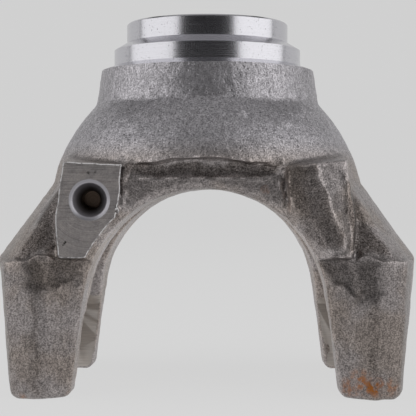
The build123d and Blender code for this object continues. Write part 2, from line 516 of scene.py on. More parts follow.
@dataclass
class Forging:
    """The raw forging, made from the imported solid. Lengths are in millimetres."""

    voxel: float = 0.95
    rounding_passes: int = 5
    triangles: int = 176000
    full_sink: float = 0.35
    allowance: float = 1.5
    plug_radius: float = 9.6
    plug_depth: float = 19.0
    plug_steps: int = 48
    hub_steps: int = 96
    lip_z: float = 103.0
    lip_side_z: float = 101.0
    lip_half_width: float = 31.0
    lip_y: float = 59.0
    lip_reach_up: float = 1.6
    lip_reach_down: float = 3.0
    lip_end: Point = (3.0, 5.0)
    lip_end_passes: int = 20
    parting_z: float = 60.4
    parting_reach: float = 5.0
    pad_side_x: float = 63.8
    pad_side_fade: float = 3.0
    most_rise: float = 2.2
    skin_depth: float = 38.0
    skin_fade: float = 8.0
    edge_on: float = 0.2
    facing_gain: float = 2.0
    facing_loss: float = 0.3
    arch_top: float = 95.0
    highlight_from: float = 0.5
    highlight_fade: float = 0.3
    mark_light_and_shade: float = 1.1
    inward_highlight: float = 0.9
    back_scale_and_shade: float = 0.8
    box_margin: float = 0.02

    hub_stock: tuple[Point, ...] = (
        (30.0, 150.0),
        (30.0, 170.2),
        (39.6, 170.2),
        (39.6, 160.6),
        (45.6, 157.0),
        (45.6, 149.8),
        (49.9, 148.4),
        (49.9, 144.0),
        (45.0, 144.0),
    )
    surface: tuple[Unevenness, ...] = (
        Unevenness("die_wear", 20.0, 0.8),
        Unevenness("scale_marks", 5.5, 0.4),
        Unevenness("peening", 2.4, 0.2),
    )
    lip_line: tuple[Point, ...] = (
        (-60.0, 101.0),
        (-35.6, 101.2),
        (-21.7, 101.9),
        (-18.0, 102.6),
        (-13.7, 103.6),
        (0.0, 103.9),
        (6.5, 103.7),
        (13.0, 102.9),
        (18.3, 102.0),
        (26.3, 101.6),
        (33.0, 100.4),
        (60.0, 101.0),
    )
    left_flash: tuple[Point, ...] = (
        (-90.0, 59.4),
        (-82.0, 59.6),
        (-77.3, 60.2),
        (-74.3, 60.9),
        (-70.9, 63.4),
        (-68.2, 64.4),
        (-65.4, 66.4),
    )
    right_flash: tuple[Point, ...] = (
        (49.2, 62.0),
        (52.2, 61.6),
        (58.6, 61.7),
        (61.6, 64.2),
        (65.4, 64.8),
        (70.1, 62.4),
        (74.8, 60.2),
        (90.0, 60.0),
    )
    left_patch: tuple[Point, ...] = ((-63.5, 61.0), (-52.5, 61.0), (-54.5, 51.0), (-69.5, 46.0))
    right_patch: tuple[Point, ...] = ((49.5, 61.5), (60.0, 61.5), (65.0, 44.5), (54.3, 51.0))

    def trimmed_flash(self) -> list[Ridge]:
        """List the flash lines that the trimming press left, on both sides.

        Returns:
            The lines, those of the front first.
        """
        return [
            Ridge(self.left_flash[1:], 0.6, 0.6),
            Ridge(self.right_flash[:-1], 0.6, 0.6),
            Ridge(self.lip_line[1:-1], 0.5, 0.5),
            Ridge(mirrored(self.right_flash[:-1]), 0.7, 0.6, Side.BACK),
            Ridge(mirrored(self.left_flash[1:]), 0.7, 0.6, Side.BACK),
            Ridge(mirrored(self.lip_line[1:-1]), 0.7, 0.5, Side.BACK),
        ]

    def seams(self) -> list[Ridge]:
        """List the seams and grooves beside the crown, round the raw pad and across the legs.

        Returns:
            The lines, those of the front first.
        """
        return [
            Ridge(((-34.2, 100.5), (-36.9, 79.0)), 0.5, -1.3),
            Ridge(((-33.0, 100.5), (-34.9, 83.5)), 0.5, 0.6),
            Ridge(((-31.0, 95.3), (31.0, 95.3)), 0.5, 0.45),
            Ridge(((31.6, 97.5), (32.2, 84.0)), 0.5, 0.5),
            Ridge(((33.3, 99.0), (34.4, 84.0)), 0.5, -0.8),
            Ridge(((35.4, 98.0), (36.6, 84.0)), 0.6, 0.5),
            Ridge(((36.0, 91.5), (42.4, 83.9), (48.3, 74.2), (50.8, 65.8)), 0.5, 0.5),
            Ridge(((46.2, 101.5), (59.4, 66.0)), 0.6, 0.5),
            Ridge(((59.6, 96.0), (61.6, 66.0)), 0.7, 0.5),
            Ridge(((-85.0, 51.5), (-79.0, 51.6)), 0.5, -0.3),
            Ridge(((85.0, 51.5), (79.5, 51.6)), 0.5, -0.3),
            Ridge(((-69.2, 46.8), (-62.5, 48.3), (-56.4, 50.8)), 0.7, 0.45),
            Ridge(((54.3, 50.6), (59.5, 47.8), (65.0, 43.6)), 0.7, 0.4),
            Ridge(((-33.4, 101.0), (-34.8, 81.5)), 0.8, -1.4, Side.BACK),
            Ridge(((33.4, 101.0), (34.8, 81.5)), 0.8, -1.4, Side.BACK),
        ]

    def hollows(self) -> list[Field | Dent]:
        """List the shallow hollows of the legs and the few single pits and bumps.

        Returns:
            The marks, those of the front first.
        """
        return [
            Field(self.left_patch, -0.8, 3.5),
            Field(self.right_patch, -0.8, 3.5),
            Field(((-78.0, 61.5), (-70.0, 62.5), (-70.0, 49.0), (-77.0, 48.0)), -0.9, 6.0),
            Field(((65.0, 62.5), (75.0, 61.0), (75.0, 45.0), (67.0, 43.0)), -0.8, 6.0),
            Dent((44.9, 94.0), 1.0, -0.9),
            Dent((33.3, 98.3), 1.1, 0.6),
            Dent((16.8, 123.6), 1.3, 0.5),
            Dent((4.2, 122.9), 0.9, -0.5),
            Field(mirrored(self.right_patch), -0.8, 2.5, Side.BACK),
            Field(self.right_patch, -0.8, 2.5, Side.BACK),
        ]

    def scale_and_shade_patches(self) -> list[Field]:
        """List the patches painted darker: dark scale together with painted shade under the bell's lip, on
        the wings and down the legs.

        Returns:
            Patches of the front, whose heights are shares of the full darkening.
        """
        leg = ((-92.0, 62.0), (-48.0, 62.0), (-54.0, -5.0), (-92.0, -5.0))
        crest = ((-74.6, 50.0), (-71.0, 50.0), (-70.5, 2.0), (-74.0, 2.0))
        left_wing = ((-65.6, 96.0), (-80.5, 60.8), (-69.0, 63.5), (-63.8, 66.0), (-64.0, 88.0))
        right_wing = ((59.5, 97.0), (79.5, 61.0), (66.0, 63.5), (61.5, 66.0))
        raw_facet = ((35.0, 98.7), (46.4, 101.7), (59.6, 66.0), (49.8, 64.0), (37.1, 81.8))
        left_knee = ((-78.0, 61.5), (-57.0, 61.0), (-58.0, 49.0), (-70.0, 46.5), (-77.0, 48.0))
        right_knee = ((50.0, 61.0), (75.0, 61.0), (74.0, 44.0), (64.0, 42.0), (54.0, 50.0))
        return [
            Field(((-34.0, 101.6), (32.0, 101.6), (32.0, 96.4), (-34.0, 96.4)), 0.9, 1.2),
            Field(((-34.0, 95.2), (32.0, 95.2), (32.0, 86.0), (-34.0, 86.0)), 0.35, 2.0),
            Field(left_wing, 1.0, 2.5),
            Field(right_wing, 1.0, 2.5),
            Field(leg, 0.28, 8.0),
            Field(mirrored(leg), 0.36, 8.0),
            Field(crest, 0.62, 3.0),
            Field(mirrored(crest), 0.6, 3.0),
            Field(raw_facet, 0.8, 2.0),
            Field(left_knee, 0.7, 6.0),
            Field(right_knee, 0.7, 6.0),
        ]

    def build(self) -> bpy.types.Object:
        """Build the forging.

        Returns:
            The closed skin, with attributes for its wear with painted light and shade, and for its dark
            scale with painted shade.
        """
        skin = self.stock()
        apply_modifier(skin, "REMESH", mode="VOXEL", voxel_size=self.voxel * MM, use_smooth_shade=True)
        self.note_wear_and_shade(skin)
        self.shift_flash(skin)
        self.roughen(skin)
        self.mark(skin)
        self.keep_in_box(skin)
        loose = sum(len(face.vertices) - 2 for face in skin.data.polygons)
        apply_modifier(skin, "DECIMATE", ratio=self.triangles / loose)
        return skin

    def stock(self) -> bpy.types.Object:
        """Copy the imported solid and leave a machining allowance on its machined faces.

        Returns:
            The copy, with its hole plugged and its hub and pad left thicker.
        """
        skin = bpy.data.objects.new("forging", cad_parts[NODE].data.copy())
        bpy.context.scene.collection.objects.link(skin)
        skin.data.materials.clear()
        close_up(skin)
        centres, normals = read_faces(skin)
        in_plane = np.abs(centres[:, 1] - PAD_Y) < PLANE_GAP
        on_pad = in_plane & (normals[:, 1] < -SQUARE_ON) & (centres[:, 0] < 0)
        edit_faces(skin, on_pad)
        bpy.ops.mesh.extrude_region_move(
            TRANSFORM_OT_translate={"value": (0, -self.allowance * MM, 0)}
        )
        bpy.ops.object.mode_set(mode="OBJECT")
        x, z = HOLE
        bpy.ops.mesh.primitive_cylinder_add(
            vertices=self.plug_steps,
            radius=self.plug_radius * MM,
            depth=self.plug_depth * MM,
            location=(x * MM, (PAD_Y - self.allowance + self.plug_depth / 2) * MM, z * MM),
            rotation=(pi / 2, 0, 0),
        )
        plug = bpy.context.object
        settle(plug)
        join(skin, plug, turned("hub_stock", self.hub_stock, self.hub_steps))
        return skin

    def note_wear_and_shade(self, skin: bpy.types.Object) -> None:
        """Round the forged edges, and keep how far each point sank: worn edges are drawn lighter, and
        corners darker as painted shade.

        Args:
            skin: The forging's skin.
        """
        before = read_points(skin)
        normals = read_normals(skin)
        apply_modifier(skin, "SMOOTH", factor=0.5, iterations=self.rounding_passes)
        sunk = np.einsum("ij,ij->i", before - read_points(skin), normals)
        wear = skin.data.attributes.new(WEAR_AND_PAINTED_SHADING, "FLOAT", "POINT")
        wear.data.foreach_set("value", np.clip(sunk / self.full_sink, -1, 1).astype(np.float32))

    def shift_flash(self, skin: bpy.types.Object) -> None:
        """Bend the bell's lip and the parting step up and down, to where the flash was trimmed.

        Args:
            skin: The forging's skin.
        """
        points = read_points(skin)
        x, z = np.abs(points[:, 0]), points[:, 2]
        level = np.where(x < self.lip_half_width, self.lip_z, self.lip_side_z)
        lip = np.array(self.lip_line)
        rise = np.interp(points[:, 0], lip[:, 0], lip[:, 1]) - level
        above = np.exp(-((np.maximum(z - level, 0) / self.lip_reach_up) ** 2))
        below = np.exp(-((np.minimum(z - level, 0) / self.lip_reach_down) ** 2))
        for side in Side:
            here = points[:, 1] * side.value > self.lip_y
            points[:, 2] += np.where(here, above * below * rise, 0)
        front = np.clip((-self.skin_depth - points[:, 1]) / self.skin_fade, 0, 1)
        near = np.exp(-(((z - self.parting_z) / self.parting_reach) ** 2))
        away = np.clip((x - self.pad_side_x) / self.pad_side_fade, 0, 1)
        for path, arm in ((self.left_flash, points[:, 0] < 0), (self.right_flash, points[:, 0] > 0)):
            line = np.array(path)
            rise = np.interp(points[:, 0], line[:, 0], line[:, 1]) - self.parting_z
            rise = np.minimum(rise, self.most_rise)
            points[:, 2] += np.where(arm, front * near * rise * away, 0)
        write_points(skin, points)
        self.soften_lip_ends(skin, points)

    def soften_lip_ends(self, skin: bpy.types.Object, points: np.ndarray) -> None:
        """Smooth the skin where the bell's lip steps down to the arms.

        Args:
            skin: The forging's skin.
            points: Its points, as they lie after the shift.
        """
        reach_x, reach_z = self.lip_end
        x, z = np.abs(points[:, 0]), points[:, 2]
        lip_end = (np.abs(x - self.lip_half_width) < reach_x) & (np.abs(z - self.lip_z) < reach_z)
        ends = skin.vertex_groups.new(name="lip_ends")
        ends.add(np.flatnonzero(lip_end).tolist(), 1.0, "REPLACE")
        apply_modifier(
            skin, "SMOOTH", factor=0.5, iterations=self.lip_end_passes, vertex_group=ends.name
        )

    def roughen(self, skin: bpy.types.Object) -> None:
        """Raise the uneven, peened surface that the dies and the shot blast leave.

        Args:
            skin: The forging's skin.
        """
        for layer in self.surface:
            cloud = bpy.data.textures.new(layer.name, "CLOUDS")
            cloud.noise_scale = layer.grain * MM
            cloud.noise_depth = 1
            apply_modifier(
                skin,
                "DISPLACE",
                texture=cloud,
                texture_coords="LOCAL",
                direction="NORMAL",
                strength=layer.depth * MM,
                mid_level=0.5,
            )

    def mark(self, skin: bpy.types.Object) -> None:
        """Press the flash lines, seams, hollows and pits into the skin, and add painted light and shade to
        the wear attribute.

        Args:
            skin: The forging's skin.
        """
        points = read_points(skin)
        normals = read_normals(skin)
        lift = np.zeros(len(points))
        for mark in (*self.trimmed_flash(), *self.seams(), *self.hollows()):
            facing = normals[:, 1] * mark.side.value
            here = (points[:, 1] * mark.side.value > self.skin_depth) & (facing > -self.edge_on)
            pressed = np.clip(self.facing_gain * facing[here] - self.facing_loss, 0, 1)
            lift[here] += mark.lift(points[here]) * pressed
        write_points(skin, points + normals * lift[:, None])
        # Faces that look inwards below the arch's top get a painted highlight all over
        inwards = -normals[:, 0] * np.sign(points[:, 0]) * (points[:, 2] < self.arch_top)
        painted_highlight = self.inward_highlight * np.clip((inwards - self.highlight_from) / self.highlight_fade, 0, 1)
        # Raised marks are drawn lighter, as wear and painted highlight, and grooves, hollows and pits
        # darker as painted shade
        worn = read_values(skin, WEAR_AND_PAINTED_SHADING) + self.mark_light_and_shade * lift + painted_highlight
        skin.data.attributes[WEAR_AND_PAINTED_SHADING].data.foreach_set("value", worn.astype(np.float32))
        # Dark scale together with painted shade, as a share for each point
        scale = skin.data.attributes.new(SCALE_AND_PAINTED_SHADE, "FLOAT", "POINT")
        scale.data.foreach_set("value", self.scale_and_shade_left(points, normals).astype(np.float32))

    def scale_and_shade_left(self, points: np.ndarray, normals: np.ndarray) -> np.ndarray:
        """Work out where the skin is painted darker, as dark scale together with painted shade. The back
        has the front's patches, turned about.

        Args:
            points: The skin's points.
            normals: Their normals.

        Returns:
            A share from zero to one for each point.
        """
        share = np.zeros(len(points))
        for patch in self.scale_and_shade_patches():
            front = (points[:, 1] < -self.skin_depth) & (normals[:, 1] < self.edge_on)
            share[front] = np.maximum(share[front], patch.lift(points[front]))
            back = (points[:, 1] > self.skin_depth) & (normals[:, 1] > -self.edge_on)
            left = self.back_scale_and_shade * patch.lift(points[back] * (-1, 1, 1))
            share[back] = np.maximum(share[back], left)
        return share

    def keep_in_box(self, skin: bpy.types.Object) -> None:
        """Hold the forged skin inside the solid's own box, apart from the hub's stock.

        Args:
            skin: The forging's skin.
        """
        low, high = (np.array(corner) / MM for corner in CAD_BOX)
        points = read_points(skin)
        high[2] = points[:, 2].max()
        write_points(skin, np.clip(points, low + self.box_margin, high - self.box_margin))


@dataclass
class Machining:
    """The cuts that machine the forging. Lengths are in millimetres."""

    hub_steps: int = 192
    shoulder: Point = (44.0, 148.6)
    shoulder_fall: float = 0.387
    land_top: float = 156.0
    pilot: Point = (38.05, 159.6)
    pilot_edge: float = 0.7
    top: float = 168.69
    clear: float = 62.0
    clear_top: float = 6.0
    inner_radius: float = 10.0
    pad_low: Point = (-64.6, 60.6)
    pad_high: Point = (-34.4, 106.0)
    pad_cover: float = 8.0
    pass_z: float = 68.0
    pass_step: float = 0.2
    hole_steps: int = 64
    seat_radius: float = 10.5
    slot_steps: int = 256
    slot_half_width: float = 36.6
    slot_floor_x: float = 72.5
    slot_apex: float = 46.4
    slot_radius: float = 55.9
    slot_foot: float = -4.0
    burr_width: float = 0.48
    burr_height: float = 0.16

    # Radius and height above the pad: the bore, its rounded mouth, the conical seat and the lead-in
    hole_profile: tuple[Point, ...] = (
        (0.0, -15.0),
        (3.9, -15.0),
        (3.9, -8.0),
        (4.1, -7.0),
        (4.6, -5.8),
        (7.2, -1.0),
        (7.6, -0.55),
        (9.6, 0.35),
        (9.6, 3.0),
        (0.0, 3.0),
    )

    def build(self, piece: bpy.types.Object) -> None:
        """Cut all machined faces.

        Args:
            piece: The forging, with its material slots.
        """
        cut(piece, self.lathe_tool(), Finish.TURNED)
        cut(piece, self.face_mill(), Finish.MILLED_PAD)
        cut(piece, self.drill(), Finish.DRILLED)
        cut(piece, self.slot_mill(), Finish.MILLED_SLOT)
        self.raise_burr(piece)

    def lathe_tool(self) -> bpy.types.Object:
        """Build the space outside the turned profile of the hub.

        Returns:
            The closed cutting body.
        """
        edge_x, edge_z = self.shoulder
        pilot_x, pilot_z = self.pilot
        profile = (
            (self.clear, edge_z - (self.clear - edge_x) * self.shoulder_fall),
            (edge_x, edge_z),
            (edge_x, self.land_top),
            (pilot_x, pilot_z),
            (pilot_x, self.top - self.pilot_edge),
            (pilot_x - self.pilot_edge, self.top),
            (self.inner_radius, self.top),
            (self.inner_radius, self.top + self.clear_top),
            (self.clear, self.top + self.clear_top),
        )
        return turned("lathe_tool", profile, self.hub_steps)

    def face_mill(self) -> bpy.types.Object:
        """Build the space in front of the milled pad, with the step where two passes met.

        It is split through the hole's axis too, so that no face of the pad goes all the way round the hole.

        Returns:
            The closed cutting body.
        """
        (x0, z0), (x1, z1) = self.pad_low, self.pad_high
        tool = block("face_mill", (x0, PAD_Y - self.pad_cover, z0), (x1, PAD_Y, z1))
        hole_x, hole_z = HOLE
        for place, normal in (
            ((hole_x, 0, 0), (1, 0, 0)),
            ((0, 0, hole_z), (0, 0, 1)),
            ((0, 0, self.pass_z), (0, 0, 1)),
            ((0, 0, self.pass_z - self.pass_step), (0, 0, 1)),
        ):
            select_only(tool)
            bpy.ops.object.mode_set(mode="EDIT")
            bpy.ops.mesh.select_all(action="SELECT")
            bpy.ops.mesh.bisect(plane_co=Vector(place) * MM, plane_no=normal)
            bpy.ops.object.mode_set(mode="OBJECT")
        for vertex in tool.data.vertices:
            low_pass = vertex.co.z < (self.pass_z - self.pass_step / 2) * MM
            if low_pass and abs(vertex.co.y - PAD_Y * MM) < PLANE_GAP * MM:
                vertex.co.y -= self.pass_step * MM
        return tool

    def drill(self) -> bpy.types.Object:
        """Build the drilled hole.

        Returns:
            The closed cutting body.
        """
        tool = turned("drill", self.hole_profile, self.hole_steps)
        x, z = HOLE
        tool.rotation_euler = (pi / 2, 0, 0)
        tool.location = (x * MM, PAD_Y * MM, z * MM)
        settle(tool)
        return tool

    def slot_mill(self) -> bpy.types.Object:
        """Build the arched slot between the legs of both arms.

        Returns:
            The closed cutting body.
        """
        bpy.ops.mesh.primitive_cylinder_add(
            vertices=self.slot_steps,
            radius=self.slot_radius * MM,
            depth=2 * self.slot_floor_x * MM,
            location=(0, 0, (self.slot_apex - self.slot_radius) * MM),
            rotation=(0, pi / 2, 0),
        )
        tool = bpy.context.object
        tool.name = "slot_mill"
        settle(tool)
        bpy.ops.object.mode_set(mode="EDIT")
        for place, normal in (
            ((0, self.slot_half_width * MM, 0), (0, 1, 0)),
            ((0, -self.slot_half_width * MM, 0), (0, -1, 0)),
            ((0, 0, self.slot_foot * MM), (0, 0, -1)),
        ):
            bpy.ops.mesh.select_all(action="SELECT")
            bpy.ops.mesh.bisect(plane_co=place, plane_no=normal, use_fill=True, clear_outer=True)
        bpy.ops.object.mode_set(mode="OBJECT")
        close_up(tool)
        return tool

    def raise_burr(self, piece: bpy.types.Object) -> None:
        """Leave a thin burr round the milled pad, raised towards its outer edge, in a near-white finish
        that paints its highlight.

        Args:
            piece: The machined forging.
        """
        edit_faces(piece, read_finishes(piece) == Finish.MILLED_PAD.value)
        bpy.ops.mesh.inset(thickness=self.burr_width * MM, depth=0, use_even_offset=False)
        bpy.ops.object.mode_set(mode="OBJECT")
        mesh = piece.data
        seat = Vector((HOLE[0], PAD_Y, HOLE[1])) * MM
        flat_corners: set[int] = set()
        rim_corners: set[int] = set()
        for face in mesh.polygons:
            if face.material_index != Finish.MILLED_PAD.value:
                continue
            if face.select or (face.center - seat).length < self.seat_radius * MM:
                flat_corners.update(face.vertices)
            else:
                face.material_index = Finish.BURR.value
                rim_corners.update(face.vertices)
        for corner in rim_corners - flat_corners:
            mesh.vertices[corner].co.y -= self.burr_height * MM


def start_finish(
    name: str, metallic: float
) -> tuple[bpy.types.Material, bpy.types.NodeTree, Socket]:
    """Start a node material.

    Args:
        name: Name of the finish.
        metallic: How much of the surface is bare metal.

    Returns:
        The material, its tree and its object coordinates, in metres from the origin of the part.
    """
    material = bpy.data.materials.new(name)
    material.use_nodes = True
    tree = material.node_tree
    tree.nodes["Principled BSDF"].inputs["Metallic"].default_value = metallic
    return material, tree, add_node(tree, "ShaderNodeTexCoord").outputs["Object"]


def finish_off(
    tree: bpy.types.NodeTree, colour: Source, roughness: Source, relief: Source | None = None
) -> None:
    """Link what was worked out to the material's shader.

    Args:
        tree: The material's tree.
        colour: Its base colour.
        roughness: Its roughness.
        relief: Its bumped normal, where it has one.
    """
    shader = tree.nodes["Principled BSDF"]
    for name, value in (("Base Color", colour), ("Roughness", roughness), ("Normal", relief)):
        if value is not None:
            tree.links.new(first_output(value), shader.inputs[name])


def grained(place: Source, grain: float, detail: float = 2.0) -> dict:
    """Give the inputs of a noise whose grains are about so many millimetres wide."""
    return {"Vector": place, "Scale": 1 / (grain * MM), "Detail": detail}


def mapped(value: Source, start: Point, end: Point) -> dict:
    """Give the inputs that map one range of values to another, and hold both ends."""
    return {0: value, 1: start[0], 2: start[1], 3: end[0], 4: end[1]}


def vary(
    tree: bpy.types.NodeTree, tone: Source | float, pattern: Source, window: Point, tones: Point
) -> bpy.types.Node:
    """Lighten and darken a tone along a pattern.

    Args:
        tree: The node tree.
        tone: The tone so far, around one.
        pattern: The pattern, around one half.
        window: The pattern's values at which the tone stops changing.
        tones: What the tone is multiplied by there.

    Returns:
        The new tone.
    """
    factor = add_node(tree, MAP_RANGE, inputs=mapped(pattern, window, tones))
    return add_node(tree, MATH, {"operation": "MULTIPLY"}, {0: tone, 1: factor})


def coat(
    tree: bpy.types.NodeTree, share: Source, under: object, over: object, tone: Source
) -> bpy.types.Node:
    """Lay one colour over another by a share, and lighten or darken both by a tone.

    Args:
        tree: The node tree.
        share: How much the upper colour covers.
        under: The lower colour.
        over: The upper colour.
        tone: The tone, around one.

    Returns:
        The colour that shows.
    """
    colour = add_node(tree, MIX, {"data_type": "RGBA"}, {0: share, 6: under, 7: over}).outputs[2]
    return add_node(tree, VECTOR_MATH, {"operation": "SCALE"}, {"Vector": colour, "Scale": tone})


def axis_radius(tree: bpy.types.NodeTree, place: Source, axis: Point) -> Socket:
    """Work out the distance from an axis along Y.

    Args:
        tree: The node tree.
        place: Object coordinates.
        axis: The axis' X and Z in millimetres.

    Returns:
        The distance in metres.
    """
    x, z = axis
    from_axis = add_node(
        tree, VECTOR_MATH, {"operation": "SUBTRACT"}, {0: place, 1: (x * MM, 0.0, z * MM)}
    )
    across = add_node(tree, VECTOR_MATH, {"operation": "MULTIPLY"}, {0: from_axis, 1: (1.0, 0.0, 1.0)})
    return add_node(tree, VECTOR_MATH, {"operation": "LENGTH"}, {0: across}).outputs["Value"]


def tool_lines(
    tree: bpy.types.NodeTree, across: Source, pitch: float, drift: Source | float = 0.0
) -> bpy.types.Node:
    """Add tool lines that vary only across their own run.

    Args:
        tree: The node tree.
        across: The distance across the lines.
        pitch: Their width in millimetres.
        drift: A slow change along them.

    Returns:
        A value around one half.
    """
    place = add_node(tree, "ShaderNodeCombineXYZ", inputs={0: across, 1: drift})
    return add_node(tree, NOISE, inputs=grained(place, pitch, 3.0))


@dataclass(frozen=True)
class Spot:
    """A ragged spot on the surface, as its centre and radius in millimetres."""

    centre: Place
    radius: float
    strength: float
    fill: float = 0.35


def spotted(
    tree: bpy.types.NodeTree, place: Source, spots: Sequence[Spot], tear: float = 2.6
) -> bpy.types.Node:
    """Work out how much of the surface lies in ragged spots.

    Args:
        tree: The node tree.
        place: Object coordinates.
        spots: The spots.
        tear: Width of the tatters of their edges, in millimetres.

    Returns:
        A share of the surface, which the spots' middles may take past one.
    """
    total: Source | float = 0.0
    for spot in spots:
        centre = tuple(value * MM for value in spot.centre)
        gap = add_node(tree, VECTOR_MATH, {"operation": "DISTANCE"}, {0: place, 1: centre}).outputs["Value"]
        fading = mapped(gap, (0.0, spot.radius * MM), (spot.strength + spot.fill, 0.0))
        reach = add_node(tree, MAP_RANGE, inputs=fading)
        total = add_node(tree, MATH, {"operation": "MAXIMUM"}, {0: reach, 1: total})
    torn = add_node(tree, NOISE, inputs=grained(place, tear, 3.0))
    soft = {"interpolation_type": "SMOOTHSTEP"}
    ragged = add_node(tree, MAP_RANGE, soft, mapped(torn, (0.42, 0.6), (0.15, 1.0)))
    return add_node(tree, MATH, {"operation": "MULTIPLY"}, {0: total, 1: ragged})


@dataclass(frozen=True)
class ForgedSkin:
    """Shot-blasted steel forging: dull scale-grey metal with fine peened grain, dark pits and a brown cast.

    The grain of the blast is drawn a little wider than a pixel of the photo, so that it shows.
    """

    name: str = "shot_blasted_forged_steel"
    metallic: float = 0.8
    brown: str = "#a59b95"
    grey: str = "#b3b0b4"
    # Colour of dark scale, also laid on as painted shade
    scale: str = "#4e453f"
    rust: str = "#a8682f"
    blast_grain: float = 0.62
    mark_grain: float = 2.6
    streak_grain: float = 1.3
    cloud_grain: float = 24.0
    pit_spacing: float = 2.4
    bell: Point = (98.0, 114.0)
    rust_spots: tuple[Spot, ...] = (
        Spot((72.0, -58.5, 6.4), 6.0, 1.5),
        Spot((66.5, -57.5, 8.0), 7.0, 0.9),
        Spot((61.5, -55.5, 5.0), 6.0, 0.8),
        Spot((79.0, -55.5, 6.0), 5.0, 0.7),
        Spot((25.8, -62.0, 90.3), 2.4, 1.2),
        Spot((-58.3, -52.0, 1.2), 2.5, 0.6),
        Spot((-78.5, -56.0, 1.6), 2.5, 0.6),
        Spot((86.6, -55.0, 35.6), 1.8, 0.7),
        Spot((-81.0, -56.0, 70.5), 1.8, 0.6),
    )

    def build(self) -> bpy.types.Material:
        """Build the skin: speckled close by, cloudy brown and grey from a step away.

        Returns:
            The material.
        """
        material, tree, place = start_finish(self.name, self.metallic)
        soft = {"interpolation_type": "SMOOTHSTEP"}
        grain = add_node(tree, NOISE, inputs=grained(place, self.blast_grain, 3.0))
        scale_marks = add_node(tree, NOISE, inputs=grained(place, self.mark_grain, 3.0))
        # Streaks are drawn out up and down the part
        drawn = add_node(tree, VECTOR_MATH, {"operation": "MULTIPLY"}, {0: place, 1: (1.0, 1.0, 0.3)})
        streaks = add_node(tree, NOISE, inputs=grained(drawn, self.streak_grain, 4.0))
        # The bell is grey all over, and the arms are brown with grey clouds
        clouds = add_node(tree, NOISE, inputs=grained(place, self.cloud_grain, 3.0))
        cast = add_node(tree, MAP_RANGE, soft, mapped(clouds, (0.4, 0.6), (0.0, 0.45)))
        height = add_node(tree, "ShaderNodeSeparateXYZ", inputs={0: place}).outputs[2]
        bell_z = (self.bell[0] * MM, self.bell[1] * MM)
        on_bell = add_node(tree, MAP_RANGE, soft, mapped(height, bell_z, (0.0, 1.0)))
        cast = add_node(tree, MATH, {"operation": "MAXIMUM"}, {0: cast, 1: on_bell})
        cells = add_node(
            tree,
            "ShaderNodeTexVoronoi",
            inputs={"Vector": place, "Scale": 1 / (self.pit_spacing * MM), "Randomness": 1.0},
        )
        pits = add_node(tree, MAP_RANGE, soft, mapped(cells, (0.08, 0.34), (0.0, 1.0)))
        # The wear attribute lightens worn edges and adds painted light and shade: lighter on raised marks
        # and inward faces, darker in corners, grooves and hollows
        wear = add_node(tree, "ShaderNodeAttribute", {"attribute_name": WEAR_AND_PAINTED_SHADING}).outputs["Fac"]
        # Dark scale together with painted shade under the lip, on the wings and down the legs
        left = add_node(tree, "ShaderNodeAttribute", {"attribute_name": SCALE_AND_PAINTED_SHADE}).outputs["Fac"]
        scale_and_shade = vary(tree, left, grain, (0.3, 0.6), (0.95, 0.6))
        tone = vary(tree, 1.0, grain, (0.36, 0.64), (0.6, 1.36))
        tone = vary(tree, tone, scale_marks, (0.3, 0.7), (0.88, 1.12))
        tone = vary(tree, tone, streaks, (0.34, 0.66), (0.84, 1.16))
        tone = vary(tree, tone, wear, (-0.7, 0.9), (0.6, 1.45))
        tone = vary(tree, tone, pits, (0.0, 1.0), (0.8, 1.0))
        bare = add_node(
            tree, MIX, {"data_type": "RGBA"}, {0: cast, 6: linear(self.brown), 7: linear(self.grey)}
        )
        colour = coat(tree, scale_and_shade, bare.outputs[2], linear(self.scale), tone)
        rusted = vary(tree, spotted(tree, place, self.rust_spots), grain, (0.35, 0.6), (0.45, 1.0))
        colour = add_node(tree, MIX, {"data_type": "RGBA"}, {0: rusted, 6: colour, 7: linear(self.rust)})
        relief = add_node(tree, BUMP, inputs={"Height": scale_marks, "Distance": 0.16 * MM})
        relief = add_node(tree, BUMP, inputs={"Height": pits, "Distance": 0.10 * MM, "Normal": relief})
        relief = add_node(tree, BUMP, inputs={"Height": grain, "Distance": 0.09 * MM, "Normal": relief})
        dull = add_node(tree, MAP_RANGE, inputs=mapped(grain, (0.3, 0.7), (0.52, 0.34)))
        finish_off(tree, colour.outputs[2], dull, relief)
        return material


@dataclass(frozen=True)
class TurnedSteel:
    """Lathe-turned steel: bright, with fine rings and a few pits, so that reflections smear upwards."""

    name: str = "turned_steel"
    metallic: float = 1.0
    metal: str = "#d3d2d7"
    ring_pitch: float = 0.3
    pit_grain: float = 0.7

    def build(self) -> bpy.types.Material:
        """Build the turned metal: rings round the hub on its walls, its bevel and its flat top.

        Returns:
            The material.
        """
        material, tree, place = start_finish(self.name, self.metallic)
        flat = add_node(tree, VECTOR_MATH, {"operation": "MULTIPLY"}, {0: place, 1: (1.0, 1.0, 0.0)})
        radius = add_node(tree, VECTOR_MATH, {"operation": "LENGTH"}, {0: flat}).outputs["Value"]
        height = add_node(tree, "ShaderNodeSeparateXYZ", inputs={0: place}).outputs[2]
        along = add_node(tree, MATH, {"operation": "ADD"}, {0: radius, 1: height})
        rings = tool_lines(tree, along, self.ring_pitch)
        specks = add_node(tree, NOISE, inputs=grained(place, self.pit_grain))
        tone = vary(tree, 1.0, rings, (0.3, 0.7), (0.9, 1.06))
        tone = vary(tree, tone, specks, (0.66, 0.72), (1.0, 0.3))
        colour = add_node(
            tree, VECTOR_MATH, {"operation": "SCALE"}, {"Vector": linear(self.metal)[:3], "Scale": tone}
        )
        dull = add_node(tree, MAP_RANGE, inputs=mapped(rings, (0.3, 0.7), (0.17, 0.27)))
        relief = add_node(tree, BUMP, inputs={"Height": rings, "Distance": 0.012 * MM})
        finish_off(tree, colour, dull, relief)
        return material


